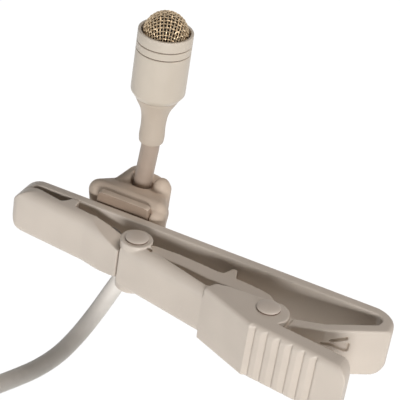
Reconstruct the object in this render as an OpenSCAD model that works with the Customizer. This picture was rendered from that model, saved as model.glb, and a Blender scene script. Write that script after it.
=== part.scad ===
// Lavalier microphone on a sprung lapel clip, with its lead and locking plug.
// Origin: where the two jaws meet and hold the cloth, half way up the clip.
// +X runs along the clip from its nose to its bend, +Y from the jaws to the cable
// holder behind the beam, and +Z up along the microphone. All sizes in millimetres.

/* [Clip frame] */
// Height of the moulded frame, measured along the pins
clip_h = 5.2; // [4.6:0.1:5.6]
// Thickness of the straight beam
beam_t = 1.0; // [0.8:0.05:1.4]
// Distance from the grip to the tip of the beam
nose_x = 2.7; // [2.2:0.1:3.2]
// Distance from the grip to the far side of the bend
bend_x = 37.3; // [36:0.1:40]
// Thickness of the return arm
arm_t = 0.9; // [0.7:0.05:1.2]

/* [Front jaw] */
// Gap between the jaw and the beam where they touch when closed
touch_gap = 0.05; // [0.03:0.01:0.12]
// Rounding of the jaw's long outer edges
jaw_round = 1.1; // [0.6:0.05:1.15]
// Height of the jaw's tail bar, which lies inside the lever
tail_h = 3.5; // [2.6:0.1:3.7]
// Height of the tooth on the tail that bears on the beam
tooth_h = 1.2; // [0.8:0.05:1.25]

/* [Lever] */
// Height of the lever at the thumb piece
lever_h = 6.1; // [5.9:0.1:7]
// Height of the lever at its front end
lever_front_h = 5.3; // [5.0:0.1:5.6]
// Thickness of the lever's outer web
web_t = 0.9; // [0.7:0.05:1.2]
// Thickness of the thumb piece
thumb_t = 1.6; // [1.3:0.1:2.0]
// Number of grip ribs on the thumb piece
rib_count = 6; // [3:1:7]
// Distance from one grip rib to the next
rib_pitch = 1.25; // [0.9:0.05:1.4]
// Depth of the grooves between the grip ribs
rib_depth = 0.45; // [0.2:0.05:0.6]

/* [Hinge pins] */
// Radius of the pins' shafts
pin_r = 0.55; // [0.4:0.05:0.7]
// Radius of the pins' heads
pin_head_r = 1.17; // [0.9:0.01:1.3]
// Height of the pins' domed heads
pin_head_h = 0.32; // [0.2:0.02:0.5]
// Radial clearance of a pin in the piece that turns on it
pin_fit = 0.04; // [0.02:0.01:0.08]

/* [Cable holder] */
// Distance from the beam's back face to the microphone's axis
mic_offset = 5.35; // [5.0:0.05:6]
// Radius of the holder's barrel around the cable
barrel_r = 3.05; // [2.9:0.05:3.3]
// Width of the holder's front plate
plate_w = 5.8; // [4.6:0.1:7]
// Thickness of the holder's front plate
plate_t = 0.85; // [0.6:0.05:1]
// Height of the front plate above the middle of the clip
plate_top = 3.6; // [3:0.1:4]
// Radius of the swivel stud's shoulder
stud_r = 1.2; // [0.9:0.05:1.5]

/* [Microphone] */
// Radius of the capsule housing
head_r = 2.75; // [2.4:0.05:3.1]
// Wall thickness of the capsule housing
head_wall = 0.3; // [0.2:0.02:0.4]
// Height of the housing's upper rim above the middle of the clip
rim_z = 20.5; // [19:0.1:23]
// Length of the straight part of the housing
head_len = 6.6; // [6:0.1:7.5]
// Radius of the rear body's neck
neck_r = 1.27; // [1.15:0.01:1.5]
// Pitch of the grille's mesh
mesh_pitch = 0.42; // [0.36:0.01:0.6]
// Share of the pitch that is open
mesh_open = 0.62; // [0.4:0.01:0.75]

/* [Cable] */
// Diameter of the cable
cable_d = 1.9; // [1.6:0.05:2]
// Depth of the surface that the cable lies on, below the middle of the clip
floor_drop = 17; // [16.9:0.05:17.1]
// Turns in each layer of the coil
coil_turns = 4.5; // [3.5:1:4.5]
// Distance between neighbouring turns of the coil
coil_pitch = 2.35; // [2.32:0.01:2.4]

/* [Plug] */
// Radius of the plug's contact pin
jack_r = 1.75; // [1.7:0.01:1.8]
// Length of the plug's contact pin
jack_len = 14; // [13:0.5:15]
// Radius of the plug's shell
shell_r = 3.9; // [3.6:0.1:4.2]
// Radius of the plug's locking collar
collar_r = 4.6; // [4.4:0.1:5]

/* [Hidden] */
$fn = 64;
hull_fn = 28;
eps = 0.01;

// Colours
beige = [0.76, 0.70, 0.62];
beige_deep = [0.70, 0.63, 0.54];
mesh_gold = [0.66, 0.58, 0.40];
dark = [0.25, 0.22, 0.20];
steel = [0.72, 0.72, 0.74];
cable_tone = [0.78, 0.72, 0.66];

// Half heights
hh = clip_h / 2;
tail_hh = tail_h / 2;
lever_hh = lever_h / 2;
front_hh = lever_front_h / 2;
slot_fit = 0.1;
eye_hh = hh - 0.25;
front_slot_hh = tail_hh + slot_fit;
rear_slot_hh = eye_hh + slot_fit;

// Pin centres, in plan
pin_a = [10.8, -2.8];
pin_b = [26.25, -5.95];
eye_a_r = 1.15;
eye_b_r = 1.35;
ring_r = 1.62;
ring_h = 0.15;

// Frame in plan: the beam lies from y = 0 to y = beam_t
bend_r = 2.7;
bend_c = [bend_x - bend_r, beam_t - bend_r];
lip = 0.45;
arm_root = [bend_x - 1.05, -2.25];
arm_mid = [31.6, -4.65];

// Jaw in plan
nose_c = [-2.75, -0.9];
nose_round = 1.2;
jaw_knee = [5.0, -3.0];
jaw_reach = jaw_knee - nose_c;
jaw_aim = atan2(jaw_reach.y, jaw_reach.x) + asin(nose_round / norm(jaw_reach));
jaw_out = [sin(jaw_aim), -cos(jaw_aim)];
jaw_start = nose_c + nose_round * jaw_out;
seam_x = 9.75;
seam_gap = 0.25;
bridge_x = 2.1;
bridge_w = 0.85;

// Lever in plan
lever_a = [seam_x + seam_gap, -4.35];
lever_b = [19.9, -6.6];
lever_c = [26.4, -9.4];
lever_d = [35.1, -10.55];
lever_round = 1.1;

// Microphone stack, from the rim downwards
mic_x = 7.05;
mic_y = beam_t + mic_offset;
cable_r = cable_d / 2;
bore_fit = 0.05;
body_z = rim_z - head_len;
chamfer_z = body_z - 0.65;
housing_floor = chamfer_z + 1.0;
inner_r = head_r - head_wall;
dome_r = inner_r - 0.03;
dome_z = rim_z - 0.1;
dome_t = 0.16;
boot_z = 7.75;
boot_top = chamfer_z + 0.9;
spigot_r = 1.15;
groove_w = 0.12;
groove_d = 0.1;
grooves_z = [rim_z - 1.28, rim_z - 2.15];
seat_h = 0.8;
foam_r = inner_r - 0.45;
can_r = inner_r - 0.12;
can_wall = 0.14;
can_z = housing_floor + 0.7;
can_top = dome_z - 2.0;
board_t = 0.4;

// Cable holder
holder_gap = 0.2;
plate_y = beam_t + holder_gap;
body_y = plate_y + plate_t;
hole_z = 2.9;
holder_low = -3.7;
crest_z = 3.75;
crest_r = 1.25;
crest_half = 4.55;
wing_x = 2.15;
wing_z = 4.45;
wing_r = 0.72;
stud_head_r = stud_r + 0.45;
stud_head_t = 0.4;
stud_shank_r = 0.6;
rivet_r = 0.95;
rivet_t = 0.3;
swivel_fit = 0.05;

// Cable route. The stub runs in the holder; the run hangs from it and comes to
// lie on the surface below, where the coil and the plug are put away.
stub_end = -4.6;
floor_z = -floor_drop;
lay_z = floor_z + cable_r;
coil_c = [16.0, -37.5];
coil_ro = 16.6;
coil_layers = 4;
lead = 2;
coil_start = [coil_c.x - coil_ro, coil_c.y + lead, lay_z];
run_points = [
    [mic_x, mic_y, stub_end],
    [mic_x, mic_y, -6.4],
    [6.6, 5.8, -8.3],
    [5.8, 4.4, -10.3],
    [5.1, 2.4, -12.2],
    [4.4, 0.1, -14.0],
    [3.6, -2.4, -15.3],
    [2.6, -5.0, -15.9],
    [1.4, -7.6, lay_z],
    [0.2, -10.2, lay_z],
    [-0.9, -13.6, lay_z],
    [-1.7, -17.6, lay_z],
    [-2.0, -22.0, lay_z],
    [-1.7, -26.4, lay_z],
    [-1.1, -30.2, lay_z],
    [coil_start.x, coil_start.y + lead, lay_z],
    coil_start];
run_sides = 8;

// Coil: turns wind in and out in layers, and climb half a turn at each reversal
coil_sides = 6;
coil_steps = 24;
layer_pitch = cable_d + 0.47;
wound = coil_layers * coil_turns;
coil_end_turns = wound + 0.25;
function tri(t) = let (m = t % (2 * coil_turns)) m < coil_turns ? m : 2 * coil_turns - m;
function climb(s) = s <= 0 ? 0 : s >= 1 ? 1 : (1 - cos(180 * s)) / 2;
function level(t) = layer_pitch * (
    climb((t - coil_turns + 0.25) * 2)
    + climb((t - 2 * coil_turns + 0.25) * 2)
    + climb((t - 3 * coil_turns + 0.25) * 2));
function coil_r(t) = coil_ro + coil_pitch * (t > wound ? t - wound : -tri(t));
function coil_at(t) = [
    coil_c.x - coil_r(t) * cos(360 * t),
    coil_c.y - coil_r(t) * sin(360 * t),
    lay_z + level(t)];
coil_count = round(coil_end_turns * coil_steps);
coil_body = [for (i = [0:coil_count]) coil_at(i / coil_steps)];
top_z = lay_z + (coil_layers - 1) * layer_pitch;
coil_exit = coil_body[coil_count];
plug_axis_z = floor_z + collar_r;
plug_x = coil_c.x + coil_ro + 6.3;
plug_start_y = coil_c.y - 7;
bow = [plug_x - coil_exit.x - 8, plug_start_y - lead - coil_exit.y];
drop = top_z - plug_axis_z;
coil_points = concat(
    [coil_start],
    coil_body,
    [coil_exit + [lead, 0, 0]],
    [for (i = [0:4]) coil_exit + [8 + bow.x * sin(22.5 * i), bow.y * (1 - cos(22.5 * i)),
        -drop * climb(i / 4)]],
    [[plug_x, plug_start_y, plug_axis_z]]);

// Plug, along +Y from plug_start_y
boot_len = 9;
boot_r0 = 1.5;
boot_r1 = 2.6;
shell_len = 11;
collar_len = 7;
shell_y = plug_start_y + boot_len;
collar_y = shell_y + shell_len;
nose_y = collar_y + collar_len;
jack_parts = [0, 7.4, 8.1, 10.1, 10.8, 14];
jack_core_r = 0.8;
collar_fit = 0.06;
nose_r = 2.4;

// Points of an arc about c, from angle a0 to a1
function arc(c, r, a0, a1, n = 10) =
    [for (i = [0:n]) let (a = a0 + (a1 - a0) * i / n) [c.x + r * cos(a), c.y + r * sin(a)]];

function unit(v) = v / norm(v);

// Direction in which two outer edges, from a to b and from b to c, are mitred
function mitre(a, b, c) = let (t = unit(unit(b - a) + unit(c - b))) [-t.y, t.x];

// Rings of a tube swept along a path, with the first ring's side direction kept turning with it
function side_of(d) = unit(cross(d, abs(d.z) < 0.9 ? [0, 0, 1] : [1, 0, 0]));
function heading(p, i) = unit(
    i == 0 ? p[1] - p[0]
    : i == len(p) - 1 ? p[i] - p[i - 1]
    : unit(p[i + 1] - p[i]) + unit(p[i] - p[i - 1]));
function carried(s, d) = unit(s - d * (s * d));
function sides_along(p, i = 0, acc = []) =
    i == len(p) ? acc
    : sides_along(p, i + 1, concat(acc, [i == 0
        ? side_of(heading(p, 0))
        : carried(acc[i - 1], heading(p, i))]));

module tube(p, r, n) {
    s = sides_along(p);
    rings = [for (i = [0:len(p) - 1]) let (d = heading(p, i), t = cross(d, s[i]))
        for (k = [0:n - 1]) p[i] + r * (cos(360 * k / n) * s[i] + sin(360 * k / n) * t)];
    last = (len(p) - 1) * n;
    walls = [for (i = [0:len(p) - 2]) for (k = [0:n - 1]) let (
        a = i * n + k, b = i * n + (k + 1) % n)
        each [[a, b, b + n], [a, b + n, a + n]]];
    caps = [for (k = [1:n - 2]) each [[0, k + 1, k], [last, last + k, last + k + 1]]];
    polyhedron(rings, [for (f = concat(walls, caps)) [f[2], f[1], f[0]]]);
}

// A flat outline given its height, about the middle plane of the clip
module slab(points, half) {
    translate([0, 0, -half])
        linear_extrude(2 * half) polygon(points);
}

// A bar from a to b with rounded long edges on its outer side, reaching inwards by depth
module rounded_bar(a, b, r, half, depth, past = 0) {
    len_ab = norm(b - a);
    translate([a.x, a.y, 0])
        rotate([0, 0, atan2(b.y - a.y, b.x - a.x)])
        translate([-past, 0, 0])
        rotate([90, 0, 90])
        linear_extrude(len_ab + 2 * past)
        polygon(concat(
            [[depth, -half]],
            [[depth, half]],
            arc([r, half - r], r, 90, 180),
            arc([r, r - half], r, 180, 270)));
}

// The same rounded edge carried round a corner of plan radius big about c
module rounded_corner(c, big, r, half) {
    translate([c.x, c.y, 0])
        rotate_extrude()
        polygon(concat(
            [[0, -half]],
            arc([big - r, r - half], r, 270, 360),
            arc([big - r, half - r], r, 0, 90),
            [[0, half]]));
}

module pin_hole(c, r) {
    translate([c.x, c.y, -lever_h])
        cylinder(h = 2 * lever_h, r = r);
}

// Moulded frame: beam, bend and return arm in one, with the eye for the rear pin
module clip_frame() {
    outer = concat(
        [[-nose_x, -lip], [-nose_x, beam_t - 0.5], [-nose_x + 0.5, beam_t]],
        arc(bend_c, bend_r, 90, -8, 14),
        arc([bend_x - 1.0, -1.35], 0.98, -20, -56, 4),
        [arm_mid + [0.3, -arm_t * 0.86], pin_b + [1.6, -1.05]]);
    inner = concat(
        [pin_b + [1.6, 0.2], arm_mid + [-0.1, arm_t * 0.25]],
        arc([bend_x - 2.3, -1.0], 0.95, -50, 90, 10),
        [[-nose_x + 0.55, 0], [-nose_x + 0.35, -lip]]);
    color(beige)
    difference() {
        union() {
            slab(concat(outer, inner), hh);
            translate([pin_b.x, pin_b.y, -eye_hh])
                cylinder(h = 2 * eye_hh, r = eye_b_r);
            slab([pin_b + [0.6, 1.1], pin_b + [2.4, 0.72], pin_b + [2.4, -0.8],
                pin_b + [0.6, -1.2]], eye_hh);
        }
        difference() {
            slab([pin_b + [-2, -2], pin_b + [-2, 2], pin_b + [2.9, 2], pin_b + [2.9, -2]], hh + 1);
            slab([pin_b + [-3, -3], pin_b + [-3, 3], pin_b + [3, 3], pin_b + [3, -3]], eye_hh);
        }
        pin_hole(pin_b, pin_r + pin_fit);
        translate([mic_x, -1, 0])
            rotate([-90, 0, 0]) cylinder(h = beam_t + 2, r = stud_shank_r);
        translate([mic_x, -1, 0])
            rotate([-90, 0, 0]) cylinder(h = 1 + rivet_t, r = rivet_r);
    }
}

// Front jaw: a rounded nose, a boat-shaped pocket, a bridge that meets the beam,
// an eye on the front pin, and a tail bar with a tooth that bears on the beam
module front_jaw() {
    mouth = [[-nose_x + 0.3, 4], [-nose_x + 0.3, -lip - touch_gap], [-1.3, -0.56],
        [0.1, -0.85], [1.35, -1.1], [1.75, -0.7], [bridge_x, -touch_gap],
        [bridge_x + bridge_w, -touch_gap], [bridge_x + bridge_w + 0.1, -1.15], [4.8, -1.4],
        [7.2, -1.5], [9.2, -1.8], [seam_x + 6, -1.8], [seam_x + 6, 4]];
    tooth_x = 20.3;
    tail = [[pin_a.x, pin_a.y + 1.0], [12.4, -1.35], [14.9, -1.25], [17.2, -1.4], [19.2, -1.6],
        [19.8, -1.5], [tooth_x, -1.5 + tooth_h], [tooth_x + 0.45, -1.45 + tooth_h],
        [21.2, -1.6], [22.7, -1.7], [24.0, -1.85], [25.1, -2.15], [26.2, -3.15],
        [25.0, -3.3], [21.6, -3.3], [18.8, -3.3], [16.4, -2.95], [12.6, -2.75],
        [pin_a.x, pin_a.y - 0.6]];
    cut = mitre(jaw_start, jaw_knee, lever_a);
    knee_top = jaw_knee + cut * 4;
    knee_low = jaw_knee - cut * 3;
    color(beige)
    difference() {
        union() {
            difference() {
                union() {
                    intersection() {
                        rounded_corner(nose_c, nose_round, jaw_round, hh);
                        slab([nose_c + 4 * jaw_out, nose_c - 4 * jaw_out, [-8, 3], [-8, -5]], hh + 1);
                    }
                    intersection() {
                        rounded_bar(jaw_start, jaw_knee, jaw_round, hh, 4, 1);
                        slab([nose_c + 4 * jaw_out, knee_low, knee_top, nose_c - 4 * jaw_out],
                            hh + 1);
                    }
                    intersection() {
                        rounded_bar(jaw_knee, lever_a, jaw_round, hh, 6, 1);
                        slab([knee_low, [seam_x, -9], [seam_x, 3], knee_top], hh + 1);
                    }
                }
                slab([[-8, 4], [-8, -0.2], [-4.2, -1.1], [-3.75, -0.72], [-3.3, -0.54],
                    [-nose_x + 0.1, -lip - touch_gap], [-nose_x + 0.4, -lip - touch_gap],
                    [-nose_x + 0.4, 4]], hh + 1);
                slab(mouth, hh + 1);
                translate([pin_a.x, pin_a.y, tail_hh])
                    cylinder(h = hh, r = ring_r + 0.12);
                translate([pin_a.x, pin_a.y, -tail_hh - hh])
                    cylinder(h = hh, r = ring_r + 0.12);
            }
            translate([pin_a.x, pin_a.y, -tail_hh])
                cylinder(h = tail_h, r = eye_a_r);
            slab([[8.4, -1.95], [pin_a.x, pin_a.y + 1.0], [pin_a.x, pin_a.y - 0.5],
                [8.4, -3.25]], tail_hh);
            slab(tail, tail_hh);
        }
        pin_hole(pin_a, pin_r + pin_fit);
    }
}

// Lever: a channel that straddles the jaw's tail and the arm's eye, flaring into
// the ribbed thumb piece
module lever() {
    inner_edge = [[13.0, -3.5], [15.7, -4.3], [18.9, -5.3], [19.6, -5.5], [20.5, -5.25],
        [21.7, -4.95], [25.0, -4.78]];
    ear = arc(pin_b + [0.75, -0.65], 1.75, 82, -8, 8);
    thumb_in = lever_d - lever_c;
    thumb_n = unit([-thumb_in.y, thumb_in.x]);
    thumb_inner = lever_c + [1.85, -0.1] + thumb_n * thumb_t;
    plan = concat(
        [[lever_a.x, pin_a.y], [12.3, pin_a.y]], inner_edge, ear,
        [thumb_inner, lever_d + thumb_n * thumb_t + [-1.0, 0.1], lever_d + [-0.15, 1.0],
        lever_d + [0, 0.4], lever_d + [0, -1], lever_c + [0, -1.5], lever_b + [0, -1.5],
        [lever_a.x, lever_a.y - 1]]);
    wall_ab = unit([-(lever_b - lever_a).y, (lever_b - lever_a).x]) * web_t;
    wall_bc = unit([-(lever_c - lever_b).y, (lever_c - lever_b).x]) * web_t;
    color(beige)
    difference() {
        union() {
            intersection() {
                slab(plan, lever_hh);
                union() {
                    rounded_bar(lever_a, lever_b + [0.4, -0.09], lever_round, front_hh, 8);
                    rounded_bar(lever_b + [-0.05, 0], lever_c + [0.05, 0], 0.35, lever_hh, 8);
                    rounded_bar(lever_c, lever_d, 0.3, lever_hh, 8);
                }
            }
            for (s = [0, 1]) mirror([0, 0, s])
                translate([pin_a.x, pin_a.y, front_slot_hh])
                cylinder(h = front_hh + ring_h - front_slot_hh, r = ring_r);
        }
        slab(concat(
            [[lever_a.x - 3, lever_a.y + wall_ab.y], lever_a + wall_ab, lever_b + wall_ab],
            [[lever_b.x + 0.4, 2], [lever_a.x - 3, 2]]), front_slot_hh);
        slab(concat(
            [[lever_b.x + 0.3, 2], lever_b + wall_bc + [0.3, 0], lever_c + wall_bc + [-0.3, 0.3]],
            [thumb_inner + [-1.5, -0.05], thumb_inner + [0, 0], thumb_inner + [6, 0],
            thumb_inner + [6, 9]]), rear_slot_hh);
        translate([pin_a.x, pin_a.y, -front_slot_hh])
            cylinder(h = 2 * front_slot_hh, r = eye_a_r + slot_fit);
        pin_hole(pin_a, pin_r + eps);
        pin_hole(pin_b, pin_r + eps);
        for (i = [0:rib_count - 1])
            translate([lever_c.x, lever_c.y, -lever_hh - 1])
            rotate([0, 0, atan2(thumb_in.y, thumb_in.x)])
            translate([0.55 + i * rib_pitch, 0, 0])
            linear_extrude(lever_h + 2)
            polygon([[0, -1], [0, 0], [rib_pitch * 0.72, rib_depth], [rib_pitch * 0.92, 0],
                [rib_pitch * 0.92, -1]]);
    }
}

// A rivet with domed heads above and below the piece it holds
module rivet(c, half) {
    dome = (pin_head_r * pin_head_r + pin_head_h * pin_head_h) / (2 * pin_head_h);
    span = asin(pin_head_r / dome);
    profile = concat(
        [[0, 0], [pin_head_r, 0]],
        [for (i = [0:6]) let (a = span * (1 - i / 6))
            [dome * sin(a), 0.06 + dome * (cos(a) - 1) + pin_head_h]]);
    translate([c.x, c.y, 0]) {
        translate([0, 0, -half])
            cylinder(h = 2 * half, r = pin_r);
        for (s = [0, 1]) mirror([0, 0, s])
            translate([0, 0, half])
            rotate_extrude() polygon(profile);
    }
}

module front_pin() {
    color(beige) rivet(pin_a, front_hh + ring_h);
}

module rear_pin() {
    color(beige) rivet(pin_b, lever_hh);
}

// Stud in the beam's back, with a collar that keeps the holder on while it turns
module holder_stud() {
    color(steel)
    translate([mic_x, 0, 0]) rotate([-90, 0, 0]) {
        cylinder(h = rivet_t, r = rivet_r - eps);
        cylinder(h = beam_t, r = stud_shank_r - eps);
        translate([0, 0, beam_t])
            cylinder(h = holder_gap + plate_t + swivel_fit, r = stud_r);
        translate([0, 0, body_y + swivel_fit])
            cylinder(h = stud_head_t, r = stud_head_r);
    }
}

// Front plate of the cable holder, which the stud's collar keeps against the beam
module holder_plate() {
    r = 0.5;
    color(beige_deep)
    difference() {
        translate([mic_x, body_y, 0]) rotate([90, 0, 0])
            linear_extrude(plate_t)
            polygon(concat(
                arc([plate_w / 2 - r, plate_top - r], r, 0, 90, 4),
                arc([r - plate_w / 2, plate_top - r], r, 90, 180, 4),
                arc([r - plate_w / 2, holder_low + r], r, 180, 270, 4),
                arc([plate_w / 2 - r, holder_low + r], r, 270, 360, 4)));
        translate([mic_x, 0, 0])
            rotate([-90, 0, 0]) cylinder(h = body_y + 1, r = stud_r + swivel_fit);
    }
}

// Soft moulded body that grips the cable: a wide shoulder, a barrel around the
// cable and two wings that rise beside it
module cable_holder() {
    color(beige_deep)
    difference() {
        union() {
            hull() {
                for (x = [-1, 1]) {
                    translate([mic_x + x * (crest_half - crest_r), body_y + crest_r, crest_z - crest_r])
                        sphere(r = crest_r, $fn = hull_fn);
                    translate([mic_x + x * (crest_half - crest_r - 0.9), body_y + crest_r,
                        holder_low + crest_r])
                        sphere(r = crest_r, $fn = hull_fn);
                    translate([mic_x + x * (crest_half - crest_r - 1.3), mic_y, hole_z - crest_r - 0.3])
                        sphere(r = crest_r, $fn = hull_fn);
                }
            }
            translate([mic_x, mic_y, 0])
                rotate_extrude()
                polygon(concat(
                    [[0, holder_low], [barrel_r - 0.7, holder_low]],
                    arc([barrel_r - 0.7, holder_low + 0.7], 0.7, 270, 360, 5),
                    arc([barrel_r - 0.6, hole_z - 0.6], 0.6, 0, 90, 5),
                    [[0, hole_z]]));
            for (x = [-1, 1]) hull() {
                translate([mic_x + x * wing_x, mic_y + 0.3, wing_z - wing_r])
                    sphere(r = wing_r, $fn = hull_fn);
                translate([mic_x + x * (wing_x - 0.1), mic_y - 0.5, 2.2])
                    sphere(r = 0.9, $fn = hull_fn);
                translate([mic_x + x * (wing_x - 0.2), mic_y + 0.6, 0.6])
                    sphere(r = 1.0, $fn = hull_fn);
            }
            translate([mic_x - plate_w / 2 + 0.3, body_y, holder_low + 0.3])
                cube([plate_w - 0.6, 1.2, plate_top - holder_low - 0.5]);
        }
        translate([mic_x, mic_y, holder_low - 2])
            cylinder(h = 12, r = cable_r + bore_fit);
        translate([mic_x, body_y - 2, 0]) rotate([-90, 0, 0])
            cylinder(h = 2 + swivel_fit + stud_head_t + 0.15, r = stud_head_r + swivel_fit);
    }
}

// Housing of the capsule, open at the top, with two fine grooves
module capsule_housing() {
    color(beige)
    translate([mic_x, mic_y, 0])
    difference() {
        rotate_extrude()
            polygon([[0, chamfer_z], [2.28, chamfer_z], [head_r, body_z],
                [head_r, rim_z - 0.08], [head_r - 0.08, rim_z], [inner_r, rim_z],
                [inner_r, housing_floor], [0, housing_floor]]);
        translate([0, 0, chamfer_z - 1])
            cylinder(h = housing_floor - chamfer_z + 2, r = spigot_r);
        for (z = grooves_z)
            translate([0, 0, z])
            rotate_extrude()
            polygon([[head_r - groove_d, 0], [head_r + groove_d, groove_w],
                [head_r + groove_d, -groove_w]]);
    }
}

// Mesh dome: a spherical shell pierced by a square grid, on a plain skirt
module grille_dome() {
    hole = mesh_pitch * mesh_open;
    reach = dome_r - dome_t - hole * 0.75;
    n = floor(reach / mesh_pitch);
    color(mesh_gold)
    translate([mic_x, mic_y, dome_z])
    difference() {
        rotate_extrude()
            polygon(concat(
                [[dome_r - dome_t, -0.35], [dome_r, -0.35]],
                arc([0, 0], dome_r, 0, 90, 24),
                arc([0, 0], dome_r - dome_t, 90, 0, 24)));
        for (i = [-n:n]) for (j = [-n:n])
            if (norm([i, j]) * mesh_pitch < reach)
                translate([i * mesh_pitch - hole / 2, j * mesh_pitch - hole / 2, 0.1])
                cube([hole, hole, dome_r + 1]);
    }
}

// A plain ring about the microphone's axis
module ring(z, h, r_out, r_in) {
    translate([mic_x, mic_y, z])
    difference() {
        cylinder(h = h, r = r_out);
        translate([0, 0, -1]) cylinder(h = h + 2, r = r_in);
    }
}

module disc(z, h, r) {
    translate([mic_x, mic_y, z]) cylinder(h = h, r = r);
}

// Ring inside the housing that the dome's skirt stands on
module grille_seat() {
    color(steel) ring(dome_z - 0.35 - seat_h, seat_h, inner_r - eps, inner_r - 0.35);
}

// Domed foam that keeps wind and dust off the capsule
module acoustic_felt() {
    color(dark)
    translate([mic_x, mic_y, 0])
    rotate_extrude()
        polygon(concat([[0, can_top], [foam_r, can_top]], arc([0, dome_z], foam_r, 0, 90, 16)));
}

// Metal can of the electret capsule, with its sound hole
module capsule_can() {
    color(steel)
    translate([mic_x, mic_y, 0])
    rotate_extrude()
        polygon([[0.9, can_top], [can_r, can_top], [can_r, can_z], [can_r - can_wall - 0.15, can_z],
            [can_r - can_wall - 0.15, can_z + can_wall], [can_r - can_wall, can_z + can_wall],
            [can_r - can_wall, can_top - can_wall], [0.9, can_top - can_wall]]);
}

module diaphragm_ring() {
    color([0.8, 0.7, 0.4]) ring(can_top - can_wall - 0.35, 0.35, can_r - can_wall - 0.02, 1.75);
}

module diaphragm() {
    color([0.85, 0.85, 0.8]) disc(can_top - can_wall - 0.41, 0.06, can_r - can_wall - 0.02);
}

module spacer_ring() {
    color([0.7, 0.5, 0.3]) ring(can_top - can_wall - 0.51, 0.1, can_r - can_wall - 0.02, 1.85);
}

// Charged backplate with its ring of air holes
module backplate() {
    color([0.8, 0.65, 0.35])
    difference() {
        disc(can_top - can_wall - 0.91, 0.4, 1.95);
        for (i = [0:5]) translate([mic_x, mic_y, 0]) rotate([0, 0, i * 60])
            translate([1.2, 0, can_top - can_wall - 2]) cylinder(h = 3, r = 0.16);
    }
}

module insulator_cup() {
    color("white")
    translate([mic_x, mic_y, 0])
    rotate_extrude()
        polygon([[1.7, can_z + can_wall + board_t], [can_r - can_wall - 0.02, can_z + can_wall + board_t],
            [can_r - can_wall - 0.02, can_top - can_wall - 0.51], [1.95, can_top - can_wall - 0.51],
            [1.95, can_top - can_wall - 0.91], [1.7, can_top - can_wall - 0.91]]);
}

module capsule_board() {
    color("darkgreen") disc(can_z + can_wall, board_t, can_r - can_wall - 0.02);
}

module capsule_seal() {
    color(dark) ring(housing_floor, can_z - housing_floor, inner_r - 0.02, inner_r - 0.55);
}

// Tapered rear body with a spigot in the housing and a bore for the cable
module rear_body() {
    flare = chamfer_z - 10.6;
    color(beige)
    translate([mic_x, mic_y, 0])
    difference() {
        rotate_extrude()
            polygon(concat(
                [[0, boot_z], [neck_r - 0.35, boot_z]],
                arc([neck_r - 0.3, boot_z + 0.35], 0.35, 270, 360, 5),
                [[neck_r + 0.06, boot_z + 1.1], [neck_r - 0.01, boot_z + 1.9]],
                [for (i = [0:8]) [neck_r + (2.25 - neck_r) * pow(i / 8, 1.9),
                    chamfer_z - flare * (1 - i / 8)]],
                [[spigot_r - eps, chamfer_z], [spigot_r - eps, boot_top], [0, boot_top]]));
        translate([0, 0, boot_z - 1])
            cylinder(h = boot_top - boot_z + 2, r = cable_r + eps);
    }
}

// The cable's fixed length, from the rear body through the holder
module cable_stub() {
    color(cable_tone)
    translate([mic_x, mic_y, stub_end])
        cylinder(h = boot_top - 0.4 - stub_end, r = cable_r);
}

module cord_run() {
    color(cable_tone) tube(run_points, cable_r, run_sides);
}

module cord_coil() {
    color(cable_tone) tube(coil_points, cable_r, coil_sides);
}

// Least distance between turns, less the cable's own thickness
function far_apart(a, b) = norm(coil_points[a] - coil_points[b]);
coil_gap = min([for (i = [0:3:coil_count]) min([100, for (j = [i + 12:1:coil_count + 4])
    far_apart(i, j)])]) - cable_d;
coil_length = let (n = len(coil_points))
    [for (i = 0, s = 0; i < n; s = s + (i < n - 1 ? norm(coil_points[i + 1] - coil_points[i]) : 0),
        i = i + 1) s][n - 1];
run_length = let (n = len(run_points))
    [for (i = 0, s = 0; i < n; s = s + (i < n - 1 ? norm(run_points[i + 1] - run_points[i]) : 0),
        i = i + 1) s][n - 1];
echo(coil_gap = coil_gap, coil_length = coil_length, run_length = run_length);

// Strap that ties the coil on the side away from the clip
module coil_tie() {
    in_r = coil_ro - coil_pitch * coil_turns - cable_r - 0.12;
    out_r = coil_ro + cable_r + 0.12;
    high = top_z + cable_r + 0.12;
    wall = 0.5;
    color(dark)
    translate([coil_c.x, coil_c.y, 0]) rotate([0, 0, 110])
    translate([0, 2, 0]) rotate([90, 0, 0])
    linear_extrude(4)
    difference() {
        polygon([[in_r - wall, floor_z], [out_r + wall, floor_z], [out_r + wall, high + wall],
            [in_r - wall, high + wall]]);
        polygon([[in_r, floor_z - 1], [out_r, floor_z - 1], [out_r, high], [in_r, high]]);
    }
}

// Places a turned piece on the plug's axis, y measured from the cable end
module on_plug(y) {
    translate([plug_x, y, plug_axis_z]) rotate([-90, 0, 0]) children();
}

module plug_boot() {
    color(dark)
    on_plug(plug_start_y)
    rotate_extrude()
        polygon([[0, 0], [boot_r0, 0], [boot_r0 + 0.25, 2], [boot_r1, boot_len], [0, boot_len]]);
}

module plug_shell() {
    color(steel)
    on_plug(shell_y)
    union() {
        rotate_extrude()
            polygon([[0, 0], [boot_r1 + 0.1, 0], [shell_r, 0.9], [shell_r, shell_len],
                [0, shell_len]]);
        translate([0, 0, shell_len])
            cylinder(h = collar_len, r = nose_r);
        translate([0, 0, shell_len + collar_len - 1.25])
            cylinder(h = 1.25, r = nose_r + 0.45);
    }
}

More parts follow.
